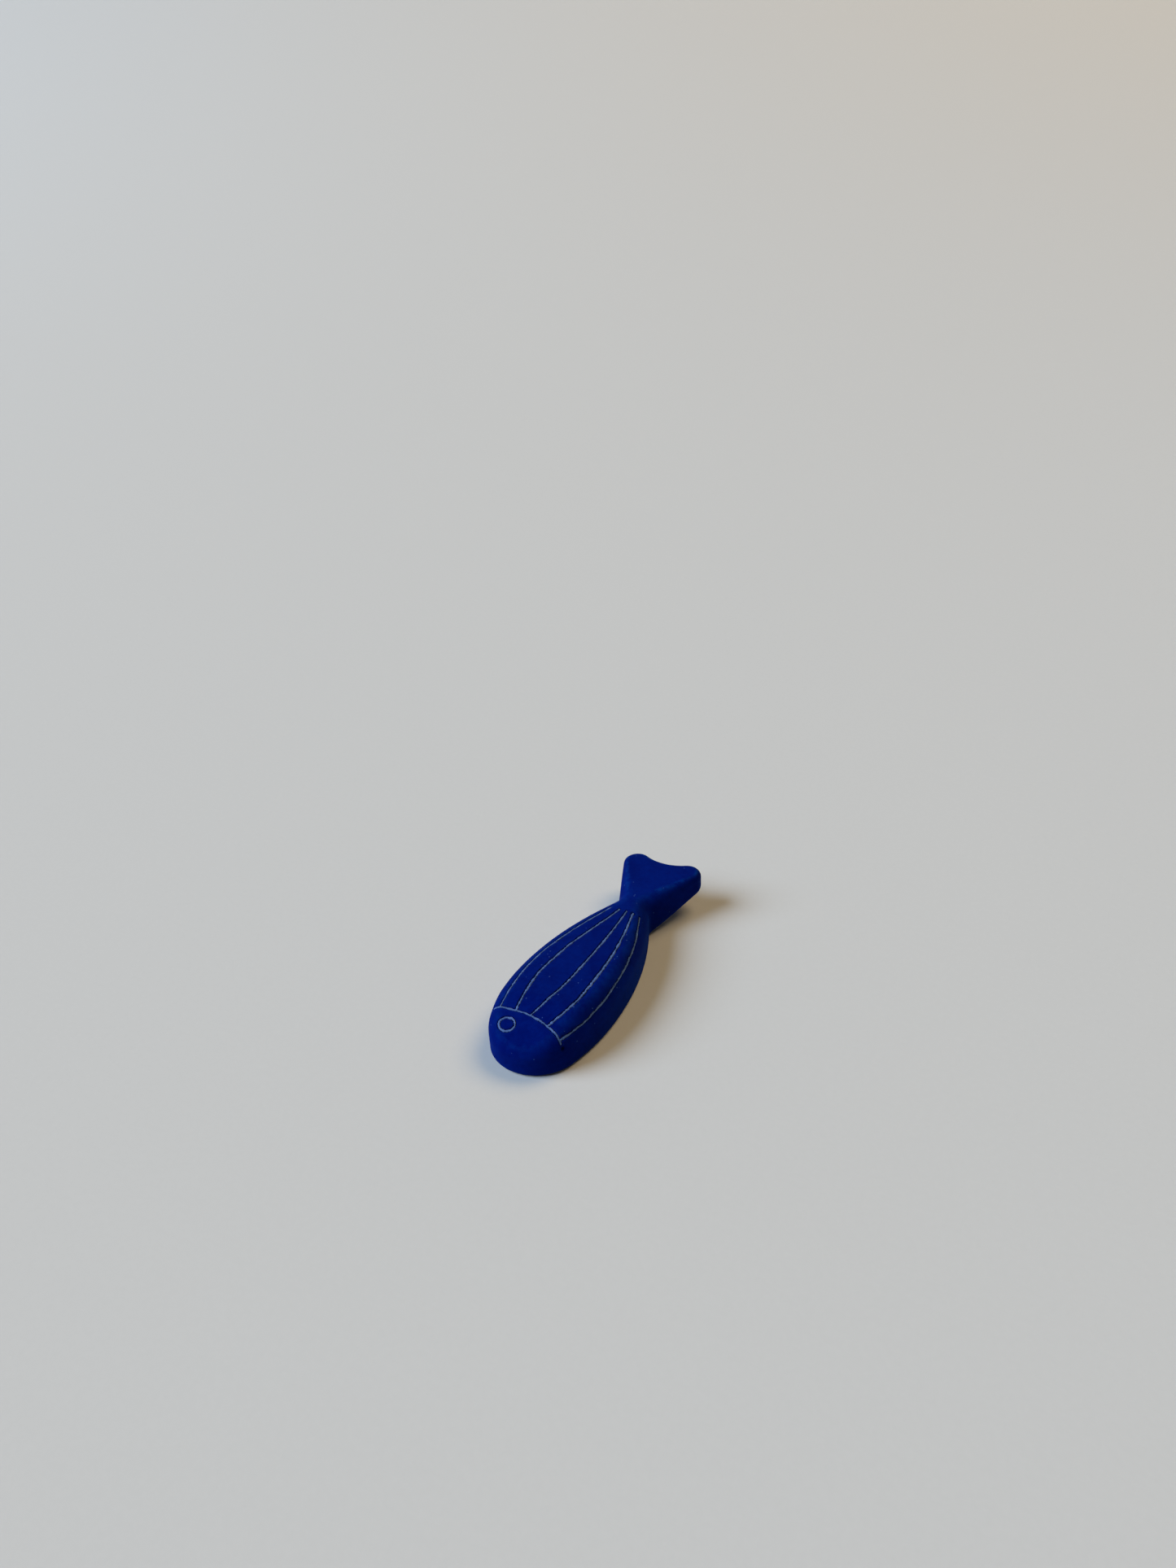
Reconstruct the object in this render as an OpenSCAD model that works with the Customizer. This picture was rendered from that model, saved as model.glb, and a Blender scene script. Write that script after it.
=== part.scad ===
// A chopstick rest in the shape of a fish: one thick painted block whose underside is flat
// under the head and body and rises under the tail. Pale lines fill shallow grooves in its top.
// The block stands on z = 0. Its nose points to -Y and its tail to +Y.
// The fish's back is on the -X side and its belly on the +X side.

/* [Outline] */
// Length from the nose to the tips of the tail
rest_length = 60; // [54:0.5:70]
// Width across the widest place of the body
body_width = 19.2; // [17.5:0.1:22]
// Radius of the nose seen from above
nose_radius = 8.4; // [7:0.1:8.7]
// Radius of the sides in front of the widest place
front_flank_radius = 41; // [32:0.5:52]
// Radius of the sides behind the widest place
rear_flank_radius = 62; // [50:0.5:75]
// Width of the waist, the narrowest place in front of the tail
waist_width = 7; // [6:0.1:9]
// Radius of the hollow on each side of the waist
waist_radius = 2.4; // [1.8:0.1:4]
// Width across both lobes of the tail
tail_width = 16.6; // [14:0.1:20]
// Radius of the round end of each lobe
lobe_radius = 2.8; // [2.3:0.1:3.4]
// Radius of the notch between the lobes
notch_radius = 8.6; // [6:0.1:12]

/* [Heights] */
// Height of the top at the nose
nose_height = 4.8; // [4:0.1:5.6]
// Height of the top over the body
body_height = 8.6; // [7:0.1:10.5]
// Height of the top at the waist
waist_height = 8.2; // [6.5:0.1:10]
// Height of the top at the end of the tail
tail_height = 8.3; // [7.4:0.1:10]
// How much higher the middle of the body is than its edge
crown_height = 0.3; // [0.1:0.05:0.6]
// Length of the slope from the nose up to the body
brow_length = 11; // [8:0.1:14]
// How far the underside has risen at the end of the tail
tail_rise = 4.2; // [2:0.1:5]
// Length of the stretch over which the underside rises
rise_length = 17.4; // [12:0.1:24]

/* [Rounded edges] */
// Radius of the upper edge round the body
shoulder_radius = 3.4; // [2:0.1:4]
// Radius of the lower edge round the body
sole_radius = 0.9; // [0.5:0.1:1.4]
// Radius of the upper edge round the tail
tail_shoulder_radius = 1.2; // [0.9:0.1:2.6]
// Radius of the lower edge round the tail
tail_sole_radius = 1.9; // [1:0.1:2.2]

/* [Lines] */
// Width of a line where it is thin
line_width = 0.34; // [0.28:0.02:0.6]
// Depth of the grooves that hold the lines
groove_depth = 0.5; // [0.3:0.05:0.9]
// How far the pale filling lies below the painted surface
filling_recess = 0.08; // [0.05:0.01:0.15]
// Width of the eye ring along the middle of its line
eye_width = 3; // [2.3:0.1:3.8]
// Length of the eye ring along the middle of its line
eye_length = 2.3; // [1.8:0.1:3]
// How far in front of the waist the stripes end
stripe_end_gap = 4.5; // [3:0.1:8]

/* [Hidden] */

// Steps of the curves
nose_steps = 7;
flank_steps = 9;
waist_steps = 5;
straight_steps = 8;
lobe_steps = 5;
tip_steps = 4;
shoulder_steps = 5;
sole_steps = 3;
top_columns = 6;
sole_columns = 6;
stripe_steps = 26;
gill_steps = 18;
eye_steps = 28;

// Shares of the local thickness that the rounded edges may take at most
shoulder_share = 0.52;
sole_share = 0.47;
// A lobe's upper edge is never rounder than this share of the lobe
lobe_edge_share = 0.85;
// The upper edge takes at most this share of the waist's half width, and more away from it
waist_edge_share = 0.93;
waist_flare_share = 0.4;
// How fast the underside rises: 1 is a straight ramp, more is a gentler start
rise_power = 1.5;
// How round the brow is: 1 is a straight slope, more is rounder
brow_power = 1.6;

// The gill line's points: place across in half widths, place along in lengths from the nose
gill_shares = [[-0.91, 0.107], [-0.46, 0.109], [0, 0.108], [0.47, 0.0955], [0.945, 0.0765]];
// The eye's centre, given the same way, and its line's extra width
eye_place_shares = [-0.44, 0.065];
eye_line_share = 0.25;

// Stations along the fish at which the stripes' places are given
station_shares = [0.15, 0.21, 0.28, 0.36, 0.44, 0.56];
// Each stripe: where it starts along the gill line, its place across in half widths at each
// station and at its end, and its extra width
back_stripe_shares = [0.095, [-0.72, -0.72, -0.74, -0.73, -0.69, -0.59, -0.46], 0];
upper_stripe_shares = [0.31, [-0.36, -0.395, -0.425, -0.39, -0.36, -0.24, -0.1], 0.3];
middle_stripe_shares = [0.51, [0.11, 0.17, 0.203, 0.21, 0.215, 0.21, 0.19], 0.2];
lower_stripe_shares = [0.76, [0.59, 0.62, 0.607, 0.595, 0.58, 0.53, 0.45], 0.35];
belly_stripe_shares = [0.975, [0.952, 0.951, 0.943, 0.928, 0.91, 0.85, 0.72], 0];

paint_colour = [0.01, 0.10, 0.42];
line_colour = [0.55, 0.60, 0.68];

half_length = rest_length / 2;
half_width = body_width / 2;
half_waist = waist_width / 2;
overrun = shoulder_radius;

// Circles of the outline's belly side, each touching the next
nose_centre = [0, nose_radius - half_length];
widest_y = nose_centre.y + sqrt(pow(front_flank_radius - nose_radius, 2)
                                - pow(front_flank_radius - half_width, 2));
front_centre = [half_width - front_flank_radius, widest_y];
rear_centre = [half_width - rear_flank_radius, widest_y];
waist_reach = rear_flank_radius + waist_radius;
waist_y = widest_y + sqrt(pow(waist_reach, 2) - pow(waist_reach - half_width + half_waist, 2));
waist_centre = [half_waist + waist_radius, waist_y];
lobe_centre = [tail_width / 2 - lobe_radius, half_length - lobe_radius];
notch_centre = [0, lobe_centre.y + sqrt(pow(lobe_radius + notch_radius, 2) - pow(lobe_centre.x, 2))];

// Directions in which neighbouring circles touch
front_angle = direction(front_centre, nose_centre);
rear_angle = direction(rear_centre, waist_centre);
tail_gap = norm(lobe_centre - waist_centre);
tangent_angle = direction(waist_centre, lobe_centre) + acos((waist_radius + lobe_radius) / tail_gap);
notch_angle = direction(lobe_centre, notch_centre);
// Direction in which a lobe is level with the notch's bottom
level_angle = asin((notch_centre.y - notch_radius - lobe_centre.y) / lobe_radius);

tail_shoulder = min(tail_shoulder_radius, lobe_edge_share * lobe_radius);

// Angle of the line from one point to another
function direction(from, to) = atan2(to.y - from.y, to.x - from.x);

// A smooth step from 0 to 1
function ease(t) = let (c = max(0, min(1, t))) c * c * (3 - 2 * c);

// Points on an arc, each with the direction in which the outline faces there
function arc(centre, radius, from, to, steps, first, turn) =
    [for (i = [first:steps])
        let (a = from + (to - from) * i / steps)
        [centre + radius * [cos(a), sin(a)], a + turn]];

// The belly side of the outline, from the nose to the middle of the notch
waist_arc = arc(waist_centre, waist_radius, rear_angle + 180, tangent_angle, waist_steps, 1, 180);
lobe_arc = arc(lobe_centre, lobe_radius, tangent_angle - 180, level_angle, lobe_steps, 0, 0);
straight_from = waist_arc[waist_steps - 1][0];
straight_to = lobe_arc[0][0];
belly_side = concat(
    arc(nose_centre, nose_radius, -90, front_angle, nose_steps, 0, 0),
    arc(front_centre, front_flank_radius, front_angle, 0, flank_steps, 1, 0),
    arc(rear_centre, rear_flank_radius, 0, rear_angle, flank_steps, 1, 0),
    waist_arc,
    [for (i = [1:straight_steps - 1])
        [straight_from + (straight_to - straight_from) * i / straight_steps, tangent_angle - 180]],
    lobe_arc,
    arc(lobe_centre, lobe_radius, level_angle, notch_angle, tip_steps, 1, 0),
    arc(notch_centre, notch_radius, notch_angle - 180, -90, tip_steps, 1, 180));
side_count = len(belly_side);
loop = concat(belly_side,
    [for (i = [side_count - 2:-1:1])
        [[-belly_side[i][0].x, belly_side[i][0].y], 180 - belly_side[i][1]]]);
loop_count = len(loop);

// Share of the brow's length that lies in front of a place along the fish
function brow_share(y) = max(0, min(1, (y + half_length) / brow_length));

// Height of the top's edge at a place along the fish
function top_profile(y) =
    y < widest_y
        ? body_height - (body_height - nose_height) * pow(1 - brow_share(y), brow_power)
        : y < waist_y
            ? body_height + (waist_height - body_height) * ease((y - widest_y) / (waist_y - widest_y))
            : waist_height + (tail_height - waist_height) * ease((y - waist_y) / (half_length - waist_y));

// Slope of the top over the brow
function brow_slope(y) =
    brow_power * (body_height - nose_height) / brow_length * pow(1 - brow_share(y), brow_power - 1);

// Height of the underside
function sole_profile(y) =
    tail_rise * pow(max(0, (y - half_length + rise_length) / rise_length), rise_power);

// Share of the tail's own edge radii at a place along the fish
function tail_share(y) = ease((y - waist_y + half_waist) / (half_length - waist_y));

function thickness(y) = top_profile(y) - sole_profile(y);

function shoulder_at(y) =
    let (k = tail_share(y))
    min(shoulder_radius * (1 - k) + tail_shoulder * k,
        shoulder_share * thickness(y),
        waist_edge_share * half_waist + waist_flare_share * abs(y - waist_y));

function sole_edge_at(y) =
    let (k = tail_share(y))
    min(sole_radius * (1 - k) + tail_sole_radius * k, sole_share * thickness(y));

// A ring of the lower rounded edge, at an angle from 0 under the block to 90 on its side
function sole_ring(a) =
    [for (q = loop)
        let (r = sole_edge_at(q[0].y),
             facing = [cos(q[1]), sin(q[1])],
             inner = q[0] - r * facing,
             p = q[0] - r * (1 - sin(a)) * facing)
        [p.x, p.y, sole_profile(inner.y) + r * (1 - cos(a))]];

// Angle by which the top slopes where its rounded edge ends, so that the two meet smoothly
function edge_tilt(y, facing, r) = atan(max(0, -facing.y) * brow_slope(y - facing.y * r / 2));

// A ring of the upper rounded edge, at a share of its arc from 0 on the side to 1 on the top
function shoulder_ring(t) =
    [for (q = loop)
        let (r = shoulder_at(q[0].y),
             facing = [cos(q[1]), sin(q[1])],
             tilt = edge_tilt(q[0].y, facing, r),
             a = t * (90 - tilt),
             inner = q[0] - r * (1 - sin(tilt)) * facing,
             p = q[0] - r * (1 - cos(a)) * facing)
        [p.x, p.y, top_profile(inner.y) - r * (cos(tilt) - sin(a))]];

edge_rings = concat(
    [for (k = [0:sole_steps]) sole_ring(90 * k / sole_steps)],
    [for (k = [0:shoulder_steps]) shoulder_ring(k / shoulder_steps)]);
ring_count = len(edge_rings);
lowest_ring = edge_rings[0];
highest_ring = edge_rings[ring_count - 1];

// Width of the flat part of the top from the middle to its rounded edge
function inner_half_width(y) =
    y < widest_y
        ? front_centre.x + sqrt(max(0, pow(front_flank_radius - shoulder_radius, 2) - pow(y - widest_y, 2)))
        : rear_centre.x + sqrt(max(0, pow(rear_flank_radius - shoulder_radius, 2) - pow(y - widest_y, 2)));

// Rise of the top's middle over its edge, fading to the nose and to the waist
function crown(x, y) =
    let (a = max(inner_half_width(y), shoulder_radius / 2),
         fade = ease(brow_share(y)) * (1 - ease((y - widest_y) / (waist_y - widest_y))))
    crown_height * fade * max(0, 1 - pow(x / a, 2));

// The caps are grids: rows run across the fish from its back to its belly, and behind the
// notch's bottom they run from a lobe's outer side to its inner side.
split_index = side_count - 1 - 2 * tip_steps;

function belly_index(i) = i;
function back_index(i) = i == 0 ? 0 : loop_count - i;

// A point of a ring, reached from either side of the fish
function ring_point(ring, side, i) = ring[side > 0 ? belly_index(i) : back_index(i)];

function blend(a, b, t) = a + (b - a) * t;

// Height of the block's top or of its underside between the rounded edges
function cap_height(top, p) =
    top ? top_profile(p.y) + crown(p.x, p.y) : sole_profile(p.y);

// How far the middle of a body's row is bent towards the notch's bottom, where the last one runs
function row_bend(ring, y) =
    let (last_y = ring[split_index].y)
    (ring[side_count - 1].y - last_y) * max(0, y - waist_y) / (last_y - waist_y);

// How far a lobe's row from a to b sags, so that it leaves the notch at b without crossing it
function row_sag(a, b, facing) = max(0, a.y - b.y + abs(a.x - b.x) / tan(facing));

function cap_points(ring, columns, top) = concat(
    [for (i = [1:split_index - 1])
        for (j = [1:columns - 1])
            let (q = blend(ring_point(ring, -1, i), ring_point(ring, 1, i), j / columns),
                 p = q + [0, row_bend(ring, q.y) * (1 - pow(2 * j / columns - 1, 2)), 0])
            [p.x, p.y, cap_height(top, p)]],
    [for (side = [-1, 1])
        for (k = [0:tip_steps - 1])
            for (j = [1:columns / 2 - 1])
                let (a = ring_point(ring, side, split_index + k),
                     b = ring_point(ring, side, side_count - 1 - k),
                     t = 2 * j / columns,
                     q = blend(a, b, t),
                     p = q - [0, row_sag(a, b, loop[side_count - 1 - k][1]) * t * (1 - t), 0])
                [p.x, p.y, cap_height(top, p)]]);

// Number of a cap's point in row i and column j, counted from the fish's back
function body_vertex(ring_start, start, columns, i, j) =
    j == 0 ? ring_start + back_index(i)
    : j == columns ? ring_start + belly_index(i)
    : start + (i - 1) * (columns - 1) + j - 1;

// Number of a lobe's point in row k and column j, counted from the lobe's outer side
function lobe_vertex(ring_start, start, columns, side, k, j) =
    let (half = columns / 2,
         outer = split_index + k,
         inner = side_count - 1 - k)
    j == 0 || k == tip_steps ? ring_start + (side > 0 ? belly_index(outer) : back_index(outer))
    : j == half ? ring_start + (side > 0 ? belly_index(inner) : back_index(inner))
    : start + (split_index - 1) * (columns - 1)
      + ((side > 0 ? tip_steps : 0) + k) * (half - 1) + j - 1;

// Row i of the body's grid; its last row is the lobes' first
function grid_vertex(ring_start, start, columns, i, j) =
    i < split_index ? body_vertex(ring_start, start, columns, i, j)
    : j <= columns / 2 ? lobe_vertex(ring_start, start, columns, -1, 0, j)
    : lobe_vertex(ring_start, start, columns, 1, 0, columns - j);

// Two triangles of a four-cornered patch
function patch(a, b, c, d) = [[a, b, c], [a, c, d]];

function flipped(faces) = [for (f = faces) [f[0], f[2], f[1]]];

// Faces of a cap, turned for one that is seen from above
function cap_faces(ring_start, start, columns) = concat(
    [for (j = [0:columns - 1])
        [ring_start, grid_vertex(ring_start, start, columns, 1, j),
         grid_vertex(ring_start, start, columns, 1, j + 1)]],
    [for (i = [1:split_index - 1])
        for (j = [0:columns - 1])
            each patch(grid_vertex(ring_start, start, columns, i, j),
                       grid_vertex(ring_start, start, columns, i + 1, j),
                       grid_vertex(ring_start, start, columns, i + 1, j + 1),
                       grid_vertex(ring_start, start, columns, i, j + 1))],
    [for (side = [-1, 1])
        let (faces = lobe_faces(ring_start, start, columns, side))
        each side < 0 ? faces : flipped(faces)]);

function lobe_faces(ring_start, start, columns, side) = concat(
    [for (k = [0:tip_steps - 2])
        for (j = [0:columns / 2 - 1])
            each patch(lobe_vertex(ring_start, start, columns, side, k, j),
                       lobe_vertex(ring_start, start, columns, side, k + 1, j),
                       lobe_vertex(ring_start, start, columns, side, k + 1, j + 1),
                       lobe_vertex(ring_start, start, columns, side, k, j + 1))],
    [for (j = [0:columns / 2 - 1])
        [lobe_vertex(ring_start, start, columns, side, tip_steps - 1, j),
         lobe_vertex(ring_start, start, columns, side, tip_steps, j),
         lobe_vertex(ring_start, start, columns, side, tip_steps - 1, j + 1)]]);

// The whole block, without its grooves
module blank() {
    ring_points = [for (ring = edge_rings) each ring];
    top_points = cap_points(highest_ring, top_columns, true);
    sole_points = cap_points(lowest_ring, sole_columns, false);
    top_start = len(ring_points);
    sole_start = top_start + len(top_points);
    band_faces = [for (k = [0:ring_count - 2])
        for (i = [0:loop_count - 1])
            let (a = k * loop_count,
                 b = a + loop_count,
                 next = (i + 1) % loop_count)
            each patch(a + i, b + i, b + next, a + next)];
    polyhedron(
        points = concat(ring_points, top_points, sole_points),
        faces = concat(
            band_faces,
            cap_faces((ring_count - 1) * loop_count, top_start, top_columns),
            flipped(cap_faces(0, sole_start, sole_columns))));
}

// Circle of the outline that a point on the belly side lies nearest to: centre, radius, and
// 1 where the outline bulges or -1 where it is hollow
function nearest_circle(p) =
    p.y < widest_y
        ? (direction(nose_centre, p) < front_angle
            ? [nose_centre, nose_radius, 1]
            : [front_centre, front_flank_radius, 1])
        : direction(rear_centre, p) < rear_angle
            ? [rear_centre, rear_flank_radius, 1]
            : [waist_centre, waist_radius, -1];

// Height of the finished top over a place on the head or the body
function skin_height(x, y) =
    let (p = [abs(x), y],
         circle = nearest_circle(p),
         away = p - circle[0],
         outward = norm(away) > 0 ? away / norm(away) : [0, 0],
         facing = circle[2] * outward,
         wall = circle[0] + circle[1] * outward,
         inset = circle[2] * (circle[1] - norm(away)),
         r = shoulder_at(wall.y),
         tilt = edge_tilt(wall.y, facing, r),
         reach = r * (1 - sin(tilt)),
         left = 1 - max(0, inset) / r)
    inset >= reach ? top_profile(y) + crown(x, y)
    : top_profile(wall.y - reach * facing.y) - r * (cos(tilt) - sqrt(1 - left * left));

// Half the outline's width at a place along the head or the body
function outline_half_width(y) =
    let (front_y = front_centre.y + front_flank_radius * sin(front_angle),
         rear_y = rear_centre.y + rear_flank_radius * sin(rear_angle))
    y < front_y ? sqrt(max(0, pow(nose_radius, 2) - pow(y - nose_centre.y, 2)))
    : y < widest_y ? front_centre.x + sqrt(pow(front_flank_radius, 2) - pow(y - widest_y, 2))
    : y < rear_y ? rear_centre.x + sqrt(pow(rear_flank_radius, 2) - pow(y - widest_y, 2))
    : waist_centre.x - sqrt(max(0, pow(waist_radius, 2) - pow(y - waist_y, 2)));

// A place given in half widths across and lengths along
function place(shares) =
    let (y = shares[1] * rest_length - half_length)
    [shares[0] * outline_half_width(y), y];

// A smooth curve through evenly spaced values or points, for t from 0 to 1
function curve(values, t) =
    let (last = len(values) - 1,
         i = min(last - 1, floor(t * last)),
         u = t * last - i,
         b = values[i],
         c = values[i + 1],
         a = i > 0 ? values[i - 1] : 2 * b - c,
         d = i + 2 <= last ? values[i + 2] : 2 * c - b)
    (2 * b + (c - a) * u + (2 * a - 5 * b + 4 * c - d) * u * u
     + (3 * b - a - 3 * c + d) * u * u * u) / 2;

stripe_end_share = (waist_y - stripe_end_gap + half_length) / rest_length;

gill_path = [for (i = [0:gill_steps]) place(curve(gill_shares, i / gill_steps))];

eye_path = [for (i = [0:eye_steps - 1])
    let (a = 360 * i / eye_steps)
    place(eye_place_shares) + [eye_width / 2 * cos(a), eye_length / 2 * sin(a)]];

function stripe_path(shares) =
    let (stations = concat(station_shares, stripe_end_share),
         points = [curve(gill_shares, shares[0]),
                   for (i = [0:len(stations) - 1]) [shares[1][i], stations[i]]])
    [for (i = [0:stripe_steps]) place(curve(points, i / stripe_steps))];

// Widths along a stripe that is widest at its middle
function stripe_widths(shares) =
    [for (i = [0:stripe_steps]) line_width * (1 + shares[2] * sin(180 * i / stripe_steps))];

function even_widths(path, swell) = [for (p = path) line_width * (1 + swell)];

// Share of a line's width that is left in plan where the skin slopes across the line
function lean(p, side) =
    let (reach = side * line_width / 2,
         rise = skin_height(p.x + reach.x, p.y + reach.y) - skin_height(p.x - reach.x, p.y - reach.y))
    line_width / norm([line_width, rise]);

// Four corners of a line's section at point i of its path: low and high, left and right
function section(path, widths, closed, i, depth, over) =
    let (last = len(path) - 1,
         before = path[i > 0 ? i - 1 : closed ? last : 0],
         after = path[i < last ? i + 1 : closed ? 0 : last],
         along = (after - before) / norm(after - before),
         side = [-along.y, along.x],
         reach = side * lean(path[i], side) * widths[i] / 2,
         left = path[i] + reach,
         right = path[i] - reach,
         low = skin_height(path[i].x, path[i].y) - depth)
    [[right.x, right.y, low], [left.x, left.y, low],
     [left.x, left.y, skin_height(left.x, left.y) + over],
     [right.x, right.y, skin_height(right.x, right.y) + over]];

// A bar along a path, from a depth below the painted surface to a height over it
module bar(path, widths, closed, depth, over) {
    count = len(path);
    bands = closed ? count : count - 1;
    points = [for (i = [0:count - 1]) each section(path, widths, closed, i, depth, over)];
    sides = [for (i = [0:bands - 1])
        for (j = [0:3])
            let (a = 4 * i,
                 b = 4 * ((i + 1) % count),
                 next = (j + 1) % 4)
            each patch(a + j, a + next, b + next, b + j)];
    first_end = patch(0, 3, 2, 1);
    last_end = patch(4 * count - 4, 4 * count - 3, 4 * count - 2, 4 * count - 1);
    polyhedron(
        points = points,
        faces = flipped(closed ? sides : concat(sides, first_end, last_end)));
}

module stripe_bar(shares, over) {
    bar(stripe_path(shares), stripe_widths(shares), false, groove_depth, over);
}

module gill_bar(depth, over) {
    bar(gill_path, even_widths(gill_path, 0), false, depth, over);
}

module eye_bar(over) {
    bar(eye_path, even_widths(eye_path, eye_line_share), true, groove_depth, over);
}

// The filling of one stripe, cut off where it meets the gill line
module stripe(shares) {
    color(line_colour)
        difference() {
            stripe_bar(shares, -filling_recess);
            gill_bar(2 * groove_depth, overrun);
        }
}

module fish_body() {
    color(paint_colour)
        difference() {
            blank();
            eye_bar(overrun);
            gill_bar(groove_depth, overrun);
            stripe_bar(back_stripe_shares, overrun);
            stripe_bar(upper_stripe_shares, overrun);
            stripe_bar(middle_stripe_shares, overrun);
            stripe_bar(lower_stripe_shares, overrun);
            stripe_bar(belly_stripe_shares, overrun);
        }
}

module eye_ring() {
    color(line_colour) eye_bar(-filling_recess);
}

module gill_line() {
    color(line_colour) gill_bar(groove_depth, -filling_recess);
}

module back_stripe() {
    stripe(back_stripe_shares);
}

module upper_stripe() {
    stripe(upper_stripe_shares);
}

module middle_stripe() {
    stripe(middle_stripe_shares);
}

module lower_stripe() {
    stripe(lower_stripe_shares);
}

module belly_stripe() {
    stripe(belly_stripe_shares);
}

fish_body();
eye_ring();
gill_line();
back_stripe();
upper_stripe();
middle_stripe();
lower_stripe();
belly_stripe();
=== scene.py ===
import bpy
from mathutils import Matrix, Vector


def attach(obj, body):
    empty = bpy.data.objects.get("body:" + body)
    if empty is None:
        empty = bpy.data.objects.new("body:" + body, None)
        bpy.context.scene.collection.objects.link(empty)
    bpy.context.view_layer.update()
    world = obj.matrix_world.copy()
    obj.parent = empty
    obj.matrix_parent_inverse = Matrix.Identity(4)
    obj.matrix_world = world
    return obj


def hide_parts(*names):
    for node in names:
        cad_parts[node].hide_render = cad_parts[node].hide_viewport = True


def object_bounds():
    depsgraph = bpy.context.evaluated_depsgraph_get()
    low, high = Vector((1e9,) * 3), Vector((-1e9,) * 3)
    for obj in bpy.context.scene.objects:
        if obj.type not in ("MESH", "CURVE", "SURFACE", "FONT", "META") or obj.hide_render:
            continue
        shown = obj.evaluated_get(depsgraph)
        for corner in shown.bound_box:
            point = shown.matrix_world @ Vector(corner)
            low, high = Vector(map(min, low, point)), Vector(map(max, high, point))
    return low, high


bl_info = {
    "name": "Fish chopstick rest",
    "version": (1, 0, 0),
    "blender": (4, 5, 0),
    "location": "View3D > Sidebar > Rest",
    "description": "Builds a painted fish-shaped chopstick rest and its plain stage",
    "category": "Object",
}

import math

import bmesh
import bpy
from mathutils import Matrix, Vector, kdtree, noise

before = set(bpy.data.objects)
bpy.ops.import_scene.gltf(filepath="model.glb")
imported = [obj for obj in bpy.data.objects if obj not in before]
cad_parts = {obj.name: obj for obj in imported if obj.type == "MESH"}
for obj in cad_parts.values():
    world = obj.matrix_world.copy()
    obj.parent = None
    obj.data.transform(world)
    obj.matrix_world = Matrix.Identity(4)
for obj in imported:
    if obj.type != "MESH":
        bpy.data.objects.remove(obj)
cad_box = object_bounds()

BODY = "root"
MM = 0.001

# Powers of the curves of the brow and of the underside's rise, where 1 is a straight slope
BROW_POWER = 1.6
RISE_POWER = 1.5
# The most that a rounded edge takes: of the block's height there, of a lobe's radius, and of
# the waist's half width, to which WAIST_SPREAD times the distance from the waist is added
SHOULDER_SHARE = 0.52
SOLE_SHARE = 0.47
LOBE_SHARE = 0.85
WAIST_SHARE = 0.93
WAIST_SPREAD = 0.4
# Distance over which the slope of the skin is taken
SLOPE_STEP = 0.02 * MM

# Where the lines lie, in half widths across the fish and in lengths from its nose
GILL = ((-0.91, 0.107), (-0.46, 0.109), (0.0, 0.108), (0.47, 0.0955), (0.945, 0.0765))
EYE = (-0.44, 0.065)
# Stations along the fish where the stripes' places across are given, before their ends
STATIONS = (0.15, 0.21, 0.28, 0.36, 0.44, 0.56)
# Each stripe: its start along the gill line, its place at each station and its end, its swell
STRIPES = {
    "back_stripe": (0.095, (-0.72, -0.72, -0.74, -0.73, -0.69, -0.59, -0.46), 0.0),
    "upper_stripe": (0.31, (-0.36, -0.395, -0.425, -0.39, -0.36, -0.24, -0.1), 0.3),
    "middle_stripe": (0.51, (0.11, 0.17, 0.203, 0.21, 0.215, 0.21, 0.19), 0.2),
    "lower_stripe": (0.76, (0.59, 0.62, 0.607, 0.595, 0.58, 0.53, 0.45), 0.35),
    "belly_stripe": (0.975, (0.952, 0.951, 0.943, 0.928, 0.91, 0.85, 0.72), 0.0),
}
# How much wider the eye's line is than a thin one
EYE_SWELL = 0.25
# Steps along each line
GILL_STEPS = 160
EYE_STEPS = 96
STRIPE_STEPS = 320

# Where in the noise each line is read: for its course and width, and for its edges
SEEDS = {
    "gill_line": (3.1, 3.1),
    "eye_ring": (5.9, 5.9),
    "back_stripe": (11.0, 20.0),
    "upper_stripe": (18.0, 21.0),
    "middle_stripe": (25.0, 22.0),
    "lower_stripe": (32.0, 23.0),
    "belly_stripe": (39.0, 24.0),
}
# How often a line changes per millimetre: slowly and quickly in its course, in its width, in
# its edges, by fine nicks in them, and in its face
SLOW_STRAY, QUICK_STRAY = 0.35, 1.3
SWELLING = 0.6
EDGE_WAVE, EDGE_NICK = 1.7, 4.3
FACE_WAVE = 3.1
# The rows of the noise for these changes, and the rows across a line's face
SLOW_ROW, QUICK_ROW, SWELLING_ROW = 1.7, 9.1, 4.2
LEFT_ROW, RIGHT_ROW = 31.7, 57.3
FACE_ROWS = 1.4
# How much the quicker change counts beside the slower one
QUICK_SHARE = 0.5
NICK_SHARE = 0.7
# How much the width changes, and the least share of it beside a nick
WIDTH_CHANGE = 0.45
LEAST_EDGE = 0.25
# Millimetres at a line's ends in which it comes to stray
STEADY_END = 1.5

# Steps of the outline: nose, front flank, rear flank, waist, straight side of the tail, lobe,
# and each side of the notch
OUTLINE_STEPS = (30, 30, 74, 10, 30, 9, 12)
NOTCH_STEPS = OUTLINE_STEPS[-1]
# Rings of the lower edge, of the side between the edges and of the upper edge
SOLE_RINGS, SIDE_RINGS, SHOULDER_RINGS = 6, 5, 12
# Columns of the grids over the top and the underside
TOP_COLUMNS, SOLE_COLUMNS = 44, 12
# Vertices nearer than this are one
MERGE = 0.002 * MM

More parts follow.
